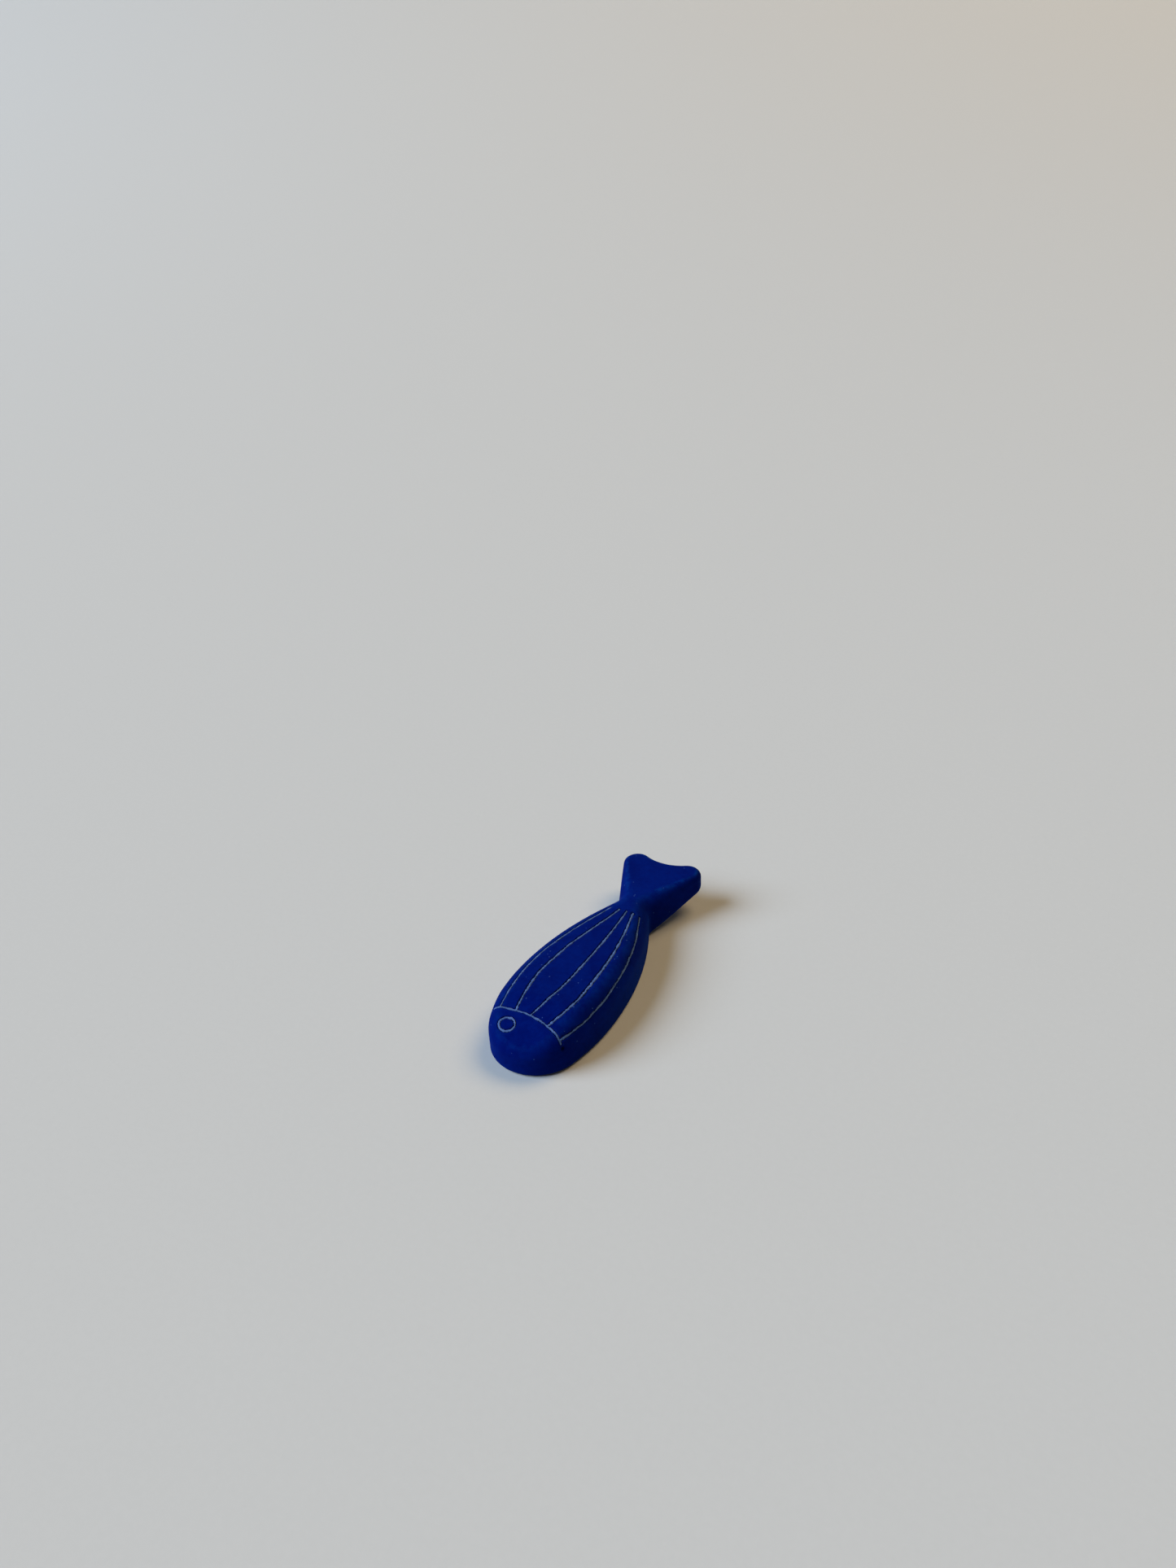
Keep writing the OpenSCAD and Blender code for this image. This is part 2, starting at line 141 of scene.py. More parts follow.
# Wear of the lower edge, and wear with a painted highlight along the upper edge's ridge, whose
# place and width are shares of the edge's arc. Behind the waist the ridge's mark grows to 1
# within the last distance given here
SOLE_WEAR = 0.25
BODY_WEAR_AND_HIGHLIGHT = 0.35
RIDGE_PLACE, RIDGE_WIDTH = 0.8, 0.2
TAIL_WEAR_AND_HIGHLIGHT_RISE = 4 * MM

# The finer mesh beside the lines: how far it reaches, above what height, and its cuts
FINE_REACH = 0.62 * MM
FINE_BOTTOM = 2.5 * MM
FINE_CUTS = 3
# The burr beside a groove: its height, and its place in widths of the groove's soft rim
BURR_HEIGHT = 0.012 * MM
BURR_PLACE = 1.6
# The least share of the groove's depth that is pressed
LEAST_PRESS = 0.001
# The chip, in its own radii: its distance from the gill line's end, the reach of its finer
# mesh, its flat middle and its rim. The line's last steps point at it
PIT_DISTANCE = 2.2
PIT_REACH = 4
PIT_FLAT, PIT_RIM = 0.6, 0.9
PIT_STEPS = 5

# The filling: columns across it, unevenness of its face, how far its edges drop, how
# sharply they do, and its thickness
FILLING_COLUMNS = 6
FACE_UNEVEN = 0.02 * MM
EDGE_DROP = 0.07 * MM
EDGE_POWER = 5
FILLING_THICKNESS = 0.3 * MM

# Directions on the floor as the camera sees them: to its right, and away from it
RIGHT = Vector((0.874, 0.487, 0))
AWAY = Vector((-0.487, 0.874, 0))
# The camera's place, and the directions of its right, its top and its view
CAMERA_PLACE = (0.090052, -0.151622, 0.136286)
CAMERA_RIGHT = Vector((0.872532, 0.485895, -0.05094))
CAMERA_UP = Vector((-0.193588, 0.439582, 0.877093))
CAMERA_VIEW = Vector((-0.448567, 0.75543, -0.477612))
# Each lamp: its place to the right, away and up, its width and its colour
WINDOW = ((-6.4, -0.7, 4.9), 5.6, (0.67, 0.825, 1.0))
ROOM_LAMP = ((3.8, 2.8, 6.0), 4.8, (1.0, 0.75, 0.42))
ROOM_COLOUR = (1.0, 0.97, 0.92, 1.0)
# How far up a ray points, from 0 to 1, where the room's light is at the sky's level
SKY_START = 0.5
# The floor in metres: its start and its run, where it bends up and how widely, its rows, and
# its columns of a metre each
FLOOR_START, FLOOR_RUN = -1.5, 9.0
FLOOR_BEND, FLOOR_BEND_RADIUS = 0.3, 8.0
FLOOR_ROWS, FLOOR_COLUMNS = 90, 8


# Settings


def number(**kind):
    """Makes a kind of setting with a name, a description and a default."""
    def setting(name, description, default):
        return bpy.props.FloatProperty(name=name, description=description, default=default,
                                       min=0.0, **kind)
    return setting


def tint(name, description, default):
    """A colour, as the linear values that the shader takes."""
    return bpy.props.FloatVectorProperty(name=name, description=description, default=default,
                                         size=3, min=0.0, max=1.0, subtype="COLOR")


length = number(precision=5, unit="LENGTH")
share = number(max=1.0, subtype="FACTOR")
watts = number(unit="POWER")
brightness = number(max=2.0)


class RestSizes(bpy.types.PropertyGroup):
    """Sizes of the carved block"""

    rest_length: length("Length", "From the nose to the tips of the tail",
                        cad_box[1][1] - cad_box[0][1])
    body_width: length("Body width", "Across the widest place", 0.0192)
    nose_radius: length("Nose radius", "Roundness of the nose seen from above", 0.0084)
    front_flank_radius: length("Front flank radius", "Sides before the widest place", 0.041)
    rear_flank_radius: length("Rear flank radius", "Sides behind the widest place", 0.062)
    waist_width: length("Waist width", "Across the waist, the narrowest place", 0.007)
    waist_radius: length("Waist radius", "Hollow on each side of the waist", 0.0024)
    tail_width: length("Tail width", "Across both lobes", 0.0166)
    lobe_radius: length("Lobe radius", "Round end of each lobe", 0.0028)
    notch_radius: length("Notch radius", "Notch between the lobes", 0.0086)
    nose_height: length("Nose height", "Top of the nose", 0.0048)
    body_height: length("Body height", "Top of the body's edge", 0.0086)
    waist_height: length("Waist height", "Top of the waist", 0.0082)
    tail_height: length("Tail height", "Top of the tail's end", 0.0083)
    crown_height: length("Crown", "How far the body's middle stands over its edge", 0.0003)
    brow_length: length("Brow length", "Slope from the nose up to the body", 0.011)
    tail_rise: length("Tail rise", "How far the tail's underside is off the floor", 0.0042)
    rise_length: length("Rise length", "Stretch over which the underside rises", 0.0174)
    shoulder_radius: length("Shoulder radius", "Upper edge round the body", 0.0034)
    sole_radius: length("Sole radius", "Lower edge round the body", 0.0009)
    tail_shoulder_radius: length("Tail shoulder radius", "Upper edge round the tail", 0.0012)
    tail_sole_radius: length("Tail sole radius", "Lower edge round the tail", 0.0019)


class LineLook(bpy.types.PropertyGroup):
    """Sizes of the pale lines and of the grooves they fill"""

    line_width: length("Line width", "Width of a line where it is thin", 0.00029)
    filling_depth: length("Filling depth", "How far the filling lies under the paint", 0.00007)
    groove_depth: length("Groove depth", "How deep the groove is pressed", 0.00026)
    groove_margin: length("Groove margin", "How far the groove reaches past its filling",
                          0.00009)
    groove_softness: length("Groove softness", "Width of the groove's rounded rim", 0.00008)
    pit_radius: length("Pit radius", "Chip where the gill line runs out on the belly", 0.00042)
    pit_depth: length("Pit depth", "Depth of that chip", 0.0003)
    wander: length("Wander", "How far a line strays from its even course", 0.00005)
    eye_width: length("Eye width", "Across the eye ring, along the middle of its line", 0.003)
    eye_length: length("Eye length", "Along the fish, along the middle of its line", 0.0023)
    stripe_end_gap: length("Stripe end", "Distance of the stripes' ends from the waist", 0.0045)
    raggedness: share("Raggedness", "How uneven a line's edges are", 0.8)


class RestFinish(bpy.types.PropertyGroup):
    """Colours and wear of the paint and of the lines, with a painted ridge highlight and painted
    groove shade
    """

    paint: tint("Paint", "Cobalt blue of the coat", (0.0002, 0.0075, 0.131))
    paint_deep: tint("Deep paint", "Where the coat lies thicker", (0.0001, 0.0039, 0.099))
    # Lighter teal of rubbed edges, also a painted highlight along the upper edge's ridge
    paint_worn_and_highlit: tint("Worn paint", "Where the coat is rubbed thin", (0.001, 0.043, 0.245))
    # Painted shade on the grooves' walls and in the chip at the gill line's end
    painted_groove_shade: tint("Scored paint", "Edges of the scored grooves", (0.0002, 0.0025, 0.035))
    speck: tint("Speck", "Pale dust in the coat", (0.05, 0.10, 0.30))
    filling: tint("Filling", "Pale blue-grey of the lines", (0.090, 0.155, 0.350))
    filling_dull: tint("Dull filling", "Where a line is thin or dirty", (0.045, 0.090, 0.235))
    roughness: share("Roughness", "How matte the paint is", 0.8)
    # Strength of the rubbed edges and of their painted highlight
    wear_and_highlight: share("Wear", "How much the edges are rubbed", 0.5)
    grain_height: length("Grain height", "Unevenness of the painted skin", 0.00004)


class StageLook(bpy.types.PropertyGroup):
    """Floor, lamps and camera"""

    floor: tint("Floor", "Pale grey of the floor", (0.55, 0.55, 0.55))
    window_power: watts("Window", "Cool light from the left, in watts", 920.0)
    room_power: watts("Room lamp", "Warm light from the right, in watts", 329.0)
    sky: brightness("Sky", "Level of the room's even light from above", 0.03)
    horizon: brightness("Horizon", "Level of the room's light from all round", 0.36)
    lens: bpy.props.FloatProperty(name="Lens", description="Focal length in millimetres",
                                  default=27.05, min=1.0, subtype="DISTANCE_CAMERA")


# The carved form


def ease(t):
    """A smooth step from 0 to 1."""
    t = max(0.0, min(1.0, t))
    return t * t * (3 - 2 * t)


def spline(values, t):
    """A smooth curve through evenly spaced values, for t from 0 to 1."""
    last = len(values) - 1
    i = min(last - 1, int(t * last))
    u = t * last - i
    b, c = values[i], values[i + 1]
    a = values[i - 1] if i > 0 else 2 * b - c
    d = values[i + 2] if i + 2 <= last else 2 * c - b
    return (2 * b + (c - a) * u + (2 * a - 5 * b + 4 * c - d) * u * u
            + (3 * b - a - 3 * c + d) * u ** 3) / 2


def on_curve(points, t):
    """A point of the smooth curve through pairs of values, for t from 0 to 1."""
    return spline([p[0] for p in points], t), spline([p[1] for p in points], t)


def heading(a, b):
    """The angle of the way from a to b."""
    return math.atan2(b.y - a.y, b.x - a.x)


def facing(angle):
    """A step of length 1 in a direction."""
    return Vector((math.cos(angle), math.sin(angle)))


def arc(centre, radius, start, stop, steps, turn):
    """Points on an arc after its first, each with the direction that the outline faces."""
    out = []
    for i in range(1, steps + 1):
        a = start + (stop - start) * i / steps
        out.append((centre + radius * facing(a), a + turn))
    return out


class Form:
    """The block's outline, heights and rounded edges, from its named sizes.

    The outline is arcs that touch: nose, front flank, rear flank, waist, lobe and notch. Each
    arc is known by its centre, on the belly's side, and by the angle at which it ends."""

    def __init__(self, sizes):
        s = self.sizes = sizes
        self.end = s.rest_length / 2
        self.half = s.body_width / 2
        self.waist_half = s.waist_width / 2
        self.nose = Vector((0, s.nose_radius - self.end))
        self.widest_y = self.nose.y + math.sqrt((s.front_flank_radius - s.nose_radius) ** 2
                                                - (s.front_flank_radius - self.half) ** 2)
        self.front = Vector((self.half - s.front_flank_radius, self.widest_y))
        self.rear = Vector((self.half - s.rear_flank_radius, self.widest_y))
        reach = s.rear_flank_radius + s.waist_radius
        aside = reach - self.half + self.waist_half
        self.waist_y = self.widest_y + math.sqrt(reach ** 2 - aside ** 2)
        self.waist = Vector((self.waist_half + s.waist_radius, self.waist_y))
        self.lobe = Vector((s.tail_width / 2 - s.lobe_radius, self.end - s.lobe_radius))
        reach = s.lobe_radius + s.notch_radius
        self.notch = Vector((0, self.lobe.y + math.sqrt(reach ** 2 - self.lobe.x ** 2)))
        self.front_angle = heading(self.front, self.nose)
        self.rear_angle = heading(self.rear, self.waist)
        gap = (self.lobe - self.waist).length
        lean = math.acos((s.waist_radius + s.lobe_radius) / gap)
        self.tangent = heading(self.waist, self.lobe) + lean
        self.notch_angle = heading(self.lobe, self.notch)
        notch_y = self.notch.y - s.notch_radius
        self.level_angle = math.asin((notch_y - self.lobe.y) / s.lobe_radius)

    def belly_side(self, steps):
        """The outline from the nose to the notch's bottom. The last two arcs have equal steps."""
        s, pi = self.sizes, math.pi
        nose, front, rear, waist, straight, lobe, tip = steps
        side = [(Vector((0, -self.end)), -pi / 2)]
        side += arc(self.nose, s.nose_radius, -pi / 2, self.front_angle, nose, 0)
        side += arc(self.front, s.front_flank_radius, self.front_angle, 0, front, 0)
        side += arc(self.rear, s.rear_flank_radius, 0, self.rear_angle, rear, 0)
        side += arc(self.waist, s.waist_radius, self.rear_angle + pi, self.tangent, waist, pi)
        a = side[-1][0]
        first = self.tangent - pi
        b = self.lobe + s.lobe_radius * facing(first)
        side += [(a.lerp(b, i / straight), first) for i in range(1, straight + 1)]
        side += arc(self.lobe, s.lobe_radius, first, self.level_angle, lobe, 0)
        side += arc(self.lobe, s.lobe_radius, self.level_angle, self.notch_angle, tip, 0)
        side += arc(self.notch, s.notch_radius, self.notch_angle - pi, -pi / 2, tip, pi)
        return side

    def brow(self, y):
        """How far along the brow a place is, from 0 at the nose to 1 where the body starts."""
        return max(0.0, min(1.0, (y + self.end) / self.sizes.brow_length))

    def top(self, y):
        """Height of the top, without its crown."""
        s = self.sizes
        if y < self.widest_y:
            drop = (s.body_height - s.nose_height) * (1 - self.brow(y)) ** BROW_POWER
            return s.body_height - drop
        if y < self.waist_y:
            t = ease((y - self.widest_y) / (self.waist_y - self.widest_y))
            return s.body_height + (s.waist_height - s.body_height) * t
        t = ease((y - self.waist_y) / (self.end - self.waist_y))
        return s.waist_height + (s.tail_height - s.waist_height) * t

    def sole(self, y):
        """Height of the underside."""
        s = self.sizes
        along = (y - self.end + s.rise_length) / s.rise_length
        return s.tail_rise * max(0.0, along) ** RISE_POWER

    def tail_share(self, y):
        """How far the edges have turned from the body's radii to the tail's, from 0 to 1."""
        return ease((y - self.waist_y + self.waist_half) / (self.end - self.waist_y))

    def shoulder(self, y):
        """Radius of the upper edge."""
        s, k = self.sizes, self.tail_share(y)
        tail = min(s.tail_shoulder_radius, LOBE_SHARE * s.lobe_radius)
        return min(s.shoulder_radius * (1 - k) + tail * k,
                   SHOULDER_SHARE * (self.top(y) - self.sole(y)),
                   WAIST_SHARE * self.waist_half + WAIST_SPREAD * abs(y - self.waist_y))

    def tilt(self, y, facing_y, r):
        """Angle by which the top slopes where its rounded edge of radius r ends."""
        s = self.sizes
        slope = BROW_POWER * (s.body_height - s.nose_height) / s.brow_length
        slope *= (1 - self.brow(y - facing_y * r / 2)) ** (BROW_POWER - 1)
        return math.atan(max(0.0, -facing_y) * slope)

    def sole_edge(self, y):
        """Radius of the lower edge."""
        s, k = self.sizes, self.tail_share(y)
        return min(s.sole_radius * (1 - k) + s.tail_sole_radius * k,
                   SOLE_SHARE * (self.top(y) - self.sole(y)))

    def sole_ring(self, q, a):
        """A point of the lower edge, for a from 0 under the block to a quarter turn beside it."""
        p, angle = q
        r = self.sole_edge(p.y)
        n = facing(angle)
        inner = p - r * n
        out = p - r * (1 - math.sin(a)) * n
        return Vector((out.x, out.y, self.sole(inner.y) + r * (1 - math.cos(a))))

    def shoulder_ring(self, q, t):
        """A point of the upper edge, at a share of its arc from 0 on the side to 1 on the top."""
        p, angle = q
        r = self.shoulder(p.y)
        n = facing(angle)
        tilt = self.tilt(p.y, n.y, r)
        a = t * (math.pi / 2 - tilt)
        inner = p - r * (1 - math.sin(tilt)) * n
        out = p - r * (1 - math.cos(a)) * n
        return Vector((out.x, out.y, self.top(inner.y) - r * (math.cos(tilt) - math.sin(a))))

    def ring_point(self, q, step):
        """A point of one of the rings from the underside to the top."""
        kind, a = step
        if kind == "sole":
            return self.sole_ring(q, a)
        if kind == "shoulder":
            return self.shoulder_ring(q, a)
        return self.sole_ring(q, math.pi / 2).lerp(self.shoulder_ring(q, 0), a)

    def crown(self, x, y):
        """How far the top stands over its height at the edge."""
        s = self.sizes
        centre, radius = self.rear, s.rear_flank_radius
        if y < self.widest_y:
            centre, radius = self.front, s.front_flank_radius
        inner = (radius - s.shoulder_radius) ** 2 - (y - self.widest_y) ** 2
        a = max(centre.x + math.sqrt(max(0.0, inner)), s.shoulder_radius / 2)
        fade = ease(self.brow(y))
        fade *= 1 - ease((y - self.widest_y) / (self.waist_y - self.widest_y))
        return s.crown_height * fade * max(0.0, 1 - (x / a) ** 2)

    def skin(self, x, y):
        """Height of the top over a place on the head or the body."""
        s = self.sizes
        p = Vector((abs(x), y))
        side = 1
        if y < self.widest_y and heading(self.nose, p) < self.front_angle:
            centre, radius = self.nose, s.nose_radius
        elif y < self.widest_y:
            centre, radius = self.front, s.front_flank_radius
        elif heading(self.rear, p) < self.rear_angle:
            centre, radius = self.rear, s.rear_flank_radius
        else:
            centre, radius, side = self.waist, s.waist_radius, -1
        outward = (p - centre).normalized()
        wall_y = centre.y + radius * outward.y
        inset = side * (radius - (p - centre).length)
        r = self.shoulder(wall_y)
        tilt = self.tilt(wall_y, side * outward.y, r)
        reach = r * (1 - math.sin(tilt))
        if inset >= reach:
            return self.top(y) + self.crown(x, y)
        left = 1 - max(0.0, inset) / r
        drop = r * (math.cos(tilt) - math.sqrt(1 - left * left))
        return self.top(wall_y - reach * side * outward.y) - drop

    def skin_point(self, x, y):
        """The point of the top over a place."""
        return Vector((x, y, self.skin(x, y)))

    def skin_normal(self, x, y):
        """The direction in which the top faces there."""
        e = SLOPE_STEP
        gx = (self.skin(x + e, y) - self.skin(x - e, y)) / (2 * e)
        gy = (self.skin(x, y + e) - self.skin(x, y - e)) / (2 * e)
        return Vector((-gx, -gy, 1)).normalized()

    def half_width(self, y):
        """Half the block's width, from the nose to the waist."""
        s = self.sizes
        from_widest = (y - self.widest_y) ** 2
        if y < self.front.y + s.front_flank_radius * math.sin(self.front_angle):
            return math.sqrt(max(0.0, s.nose_radius ** 2 - (y - self.nose.y) ** 2))
        if y < self.widest_y:
            return self.front.x + math.sqrt(s.front_flank_radius ** 2 - from_widest)
        if y < self.rear.y + s.rear_flank_radius * math.sin(self.rear_angle):
            return self.rear.x + math.sqrt(s.rear_flank_radius ** 2 - from_widest)
        hollow = max(0.0, s.waist_radius ** 2 - (y - self.waist_y) ** 2)
        return self.waist.x - math.sqrt(hollow)

    def place(self, shares):
        """The place that lies at a share of the half width and at a share of the length."""
        y = shares[1] * self.sizes.rest_length - self.end
        return Vector((shares[0] * self.half_width(y), y))


# The lines' courses


def beside(points, i, closed):
    """The points before and after a line's point. An open line's ends count for themselves."""
    if closed:
        return points[i - 1], points[(i + 1) % len(points)]
    return points[max(i - 1, 0)], points[min(i + 1, len(points) - 1)]


class Course:
    """A line's middle on the skin, with its half width at each point."""

    def __init__(self, form, look, node, flat, swell, closed=False):
        self.node, self.look, self.closed = node, look, closed
        self.seed, self.edge_seed = SEEDS[node]
        self.lengths = [0.0]
        for a, b in zip(flat, flat[1:]):
            self.lengths.append(self.lengths[-1] + (b - a).length)
        self.points, self.sides, self.widths = [], [], []
        for i, p in enumerate(flat):
            before, after = beside(flat, i, closed)
            ahead = (after - before).normalized()
            q = p
            if not closed:
                q = p + Vector((-ahead.y, ahead.x)) * self.stray(i)
            self.points.append(form.skin_point(q.x, q.y))
            n = form.skin_normal(q.x, q.y)
            self.sides.append(n.cross(Vector((ahead.x, ahead.y, 0))).normalized())
            uneven = 1 + WIDTH_CHANGE * self.wave(i, SWELLING, self.seed, SWELLING_ROW)
            bulge = 1.0 if closed else math.sin(math.pi * i / (len(flat) - 1))
            self.widths.append(look.line_width / 2 * uneven * (1 + swell * bulge))

    def wave(self, i, often, seed, row):
        """Smooth unevenness along the line, from about -1 to 1."""
        return noise.noise(Vector((self.lengths[i] / MM * often, seed, row)))

    def stray(self, i):
        """How far the line runs beside its even course."""
        s, whole = self.lengths[i] / MM, self.lengths[-1] / MM
        steady = ease(s / STEADY_END) * ease((whole - s) / STEADY_END)
        return self.look.wander * steady * (
            self.wave(i, SLOW_STRAY, self.seed, SLOW_ROW)
            + QUICK_SHARE * self.wave(i, QUICK_STRAY, self.seed, QUICK_ROW))

    def edge(self, i, left):
        """How far the filling reaches to one side, with its ragged edge."""
        row = LEFT_ROW if left else RIGHT_ROW
        rough = (self.wave(i, EDGE_WAVE, self.edge_seed, row)
                 + NICK_SHARE * self.wave(i, EDGE_NICK, self.edge_seed, row))
        return self.widths[i] * max(LEAST_EDGE, 1 + self.look.raggedness * rough)


def gill_course(form, look):
    """The arc that parts the head from the body."""
    flat = [form.place(on_curve(GILL, i / GILL_STEPS)) for i in range(GILL_STEPS + 1)]
    return Course(form, look, "gill_line", flat, 0.0)


def eye_course(form, look):
    """The ring of the eye."""
    centre = form.place(EYE)
    flat = []
    for i in range(EYE_STEPS):
        a = 2 * math.pi * i / EYE_STEPS
        flat.append(centre + Vector((look.eye_width / 2 * math.cos(a),
                                     look.eye_length / 2 * math.sin(a))))
    return Course(form, look, "eye_ring", flat, EYE_SWELL, closed=True)


def stripe_course(form, look, name):
    """A stripe from the gill line to its end before the waist."""
    start, across, swell = STRIPES[name]
    stop = (form.waist_y - look.stripe_end_gap + form.end) / form.sizes.rest_length
    points = [on_curve(GILL, start), *zip(across, (*STATIONS, stop))]
    flat = [form.place(on_curve(points, i / STRIPE_STEPS)) for i in range(STRIPE_STEPS + 1)]
    return Course(form, look, name, flat, swell)


def all_courses(form, look):
    """Every line, the gill's first."""
    courses = [gill_course(form, look), eye_course(form, look)]
    return courses + [stripe_course(form, look, name) for name in STRIPES]


# Mesh helpers


def add_grid(bm, across, along, place, mark=None):
    """A grid of faces whose vertices go where place(i, j) says, with j across and i along."""
    made = bmesh.ops.create_grid(bm, x_segments=across, y_segments=along, size=1.0)
    for v in made["verts"]:
        j = round((v.co.x + 1) / 2 * across)
        i = round((v.co.y + 1) / 2 * along)
        v.co = place(i, j)
        if mark:
            mark(v, i, j)


def add_object(name, bm, material):
    """A smooth object at the origin, made from the bmesh."""
    mesh = bpy.data.meshes.new(name)
    bm.to_mesh(mesh)
    bm.free()
    for poly in mesh.polygons:
        poly.use_smooth = True
    mesh.materials.append(material)
    made = bpy.data.objects.new(name, mesh)
    bpy.context.scene.collection.objects.link(made)
    return made


def finish_piece(name, bm, material, node):
    """Makes the piece, lets it ride on the body and hides the CAD solid that it stands for."""
    piece = add_object(name, bm, material)
    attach(piece, BODY)
    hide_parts(node)


# Materials. Scales of noise and cells are per metre, so 1000 is one to a millimetre.


def feed(tree, socket, value):
    """Links a socket to another node's output, or sets it to a number or a colour."""
    if isinstance(value, bpy.types.NodeSocket):
        tree.links.new(value, socket)
    elif isinstance(value, tuple):
        socket.default_value = (*value, 1.0)
    else:
        socket.default_value = value


def group_of(name, inputs, output):
    """A new shader node group with its ends, or the one that exists without them."""
    group = bpy.data.node_groups.get(name)
    if group:
        return group, None, None
    group = bpy.data.node_groups.new(name, "ShaderNodeTree")
    group.interface.new_socket("Vector", in_out="INPUT", socket_type="NodeSocketVector")
    for socket_name, default in inputs.items():
        socket = group.interface.new_socket(socket_name, in_out="INPUT",
                                            socket_type="NodeSocketFloat")
        socket.default_value = default
    group.interface.new_socket(output, in_out="OUTPUT", socket_type="NodeSocketFloat")
    return group, group.nodes.new("NodeGroupInput"), group.nodes.new("NodeGroupOutput")


def place_group(tree, group, vector, **values):
    """Places a group with its own values and gives its output."""
    node = tree.nodes.new("ShaderNodeGroup")
    node.node_tree = group
    tree.links.new(vector, node.inputs["Vector"])
    for name, value in values.items():
        node.inputs[name.replace("_", " ").title()].default_value = value
    return node.outputs[0]


def math_node(tree, operation, a, b, clamp=False):
    """The result of an operation on two values."""
    node = tree.nodes.new("ShaderNodeMath")
    node.operation = operation
    node.use_clamp = clamp
    feed(tree, node.inputs[0], a)
    feed(tree, node.inputs[1], b)
    return node.outputs[0]


def weighted(tree, a, share_a, b, share_b):
    """Two values, each times its share, added."""
    return math_node(tree, "ADD", math_node(tree, "MULTIPLY", a, share_a),
                     math_node(tree, "MULTIPLY", b, share_b))


def ramp_node(tree, value, low, high, out_low=0.0, out_high=1.0):
    """A smooth step from out_low to out_high while the value goes from low to high."""
    node = tree.nodes.new("ShaderNodeMapRange")
    node.interpolation_type = "SMOOTHSTEP"
    tree.links.new(value, node.inputs["Value"])
    node.inputs["From Min"].default_value = low
    node.inputs["From Max"].default_value = high
    node.inputs["To Min"].default_value = out_low
    node.inputs["To Max"].default_value = out_high
    return node.outputs["Result"]


def noise_node(tree, vector, scale, detail, rough, distortion=0.0):
    """Noise of a scale, with more or less detail and roughness."""
    node = tree.nodes.new("ShaderNodeTexNoise")
    tree.links.new(vector, node.inputs["Vector"])
    feed(tree, node.inputs["Scale"], scale)
    node.inputs["Detail"].default_value = detail
    node.inputs["Roughness"].default_value = rough
    node.inputs["Distortion"].default_value = distortion
    return node.outputs["Fac"]


def mix_node(tree, factor, a, b):
    """A mix of two colours. In this node, sockets 6 and 7 and output 2 are the colours."""
    node = tree.nodes.new("ShaderNodeMix")
    node.data_type = "RGBA"
    node.blend_type = "MIX"
    feed(tree, node.inputs[0], factor)
    feed(tree, node.inputs[6], a)
    feed(tree, node.inputs[7], b)
    return node.outputs[2]


def mask_node(tree, name):
    """A mask that the mesh carries."""
    node = tree.nodes.new("ShaderNodeAttribute")
    node.attribute_name = name
    return node.outputs["Fac"]


def bump(tree, shader, height, distance, strength):
    """Lets the surface look raised by a height."""
    node = tree.nodes.new("ShaderNodeBump")
    node.inputs["Distance"].default_value = distance
    node.inputs["Strength"].default_value = strength
    tree.links.new(height, node.inputs["Height"])
    tree.links.new(node.outputs["Normal"], shader.inputs["Normal"])


def mottle_group():
    """Soft cloudiness of a hand-painted coat: 0 where it is thick, 1 where it is thin."""
    group, start, stop = group_of(
        "coat_mottle", {"Cloud Scale": 190.0, "Fine Scale": 1100.0}, "Mottle")
    if start:
        vector = start.outputs["Vector"]
        cloud = noise_node(group, vector, start.outputs["Cloud Scale"], detail=3.0, rough=0.6,
                           distortion=0.4)
        fine = noise_node(group, vector, start.outputs["Fine Scale"], detail=4.0, rough=0.65)
        both = weighted(group, cloud, 0.55, fine, 0.45)
        group.links.new(ramp_node(group, both, 0.36, 0.64), stop.inputs["Mottle"])
    return group


def speck_group():
    """Pale grains of dust that lie far apart, as one cell in ten has one."""
    group, start, stop = group_of("dust_specks", {"Scale": 1500.0, "Size": 0.16}, "Specks")
    if start:
        cells = group.nodes.new("ShaderNodeTexVoronoi")
        group.links.new(start.outputs["Vector"], cells.inputs["Vector"])
        group.links.new(start.outputs["Scale"], cells.inputs["Scale"])
        near = math_node(group, "LESS_THAN", cells.outputs["Distance"], start.outputs["Size"])
        split = group.nodes.new("ShaderNodeSeparateColor")
        group.links.new(cells.outputs["Color"], split.inputs["Color"])
        few = math_node(group, "GREATER_THAN", split.outputs["Red"], 0.9)
        group.links.new(math_node(group, "MULTIPLY", near, few), stop.inputs["Specks"])
    return group


def grain_group():
    """Height of a slightly uneven, brushed skin."""
    group, start, stop = group_of(
        "skin_grain", {"Fine Scale": 2600.0, "Wave Scale": 260.0}, "Height")
    if start:
        vector = start.outputs["Vector"]
        fine = noise_node(group, vector, start.outputs["Fine Scale"], detail=3.0, rough=0.6)
        wave = noise_node(group, vector, start.outputs["Wave Scale"], detail=2.0, rough=0.5)
        total = math_node(group, "ADD", math_node(group, "MULTIPLY", fine, 0.35), wave)
        group.links.new(total, stop.inputs["Height"])
    return group


def start_material(name):
    """A new material with its shader and the coordinates that its patterns follow."""
    material = bpy.data.materials.new(name)
    material.use_nodes = True
    tree = material.node_tree
    shader = next(n for n in tree.nodes if n.type == "BSDF_PRINCIPLED")
    coords = tree.nodes.new("ShaderNodeTexCoord").outputs["Object"]
    return material, tree, shader, coords


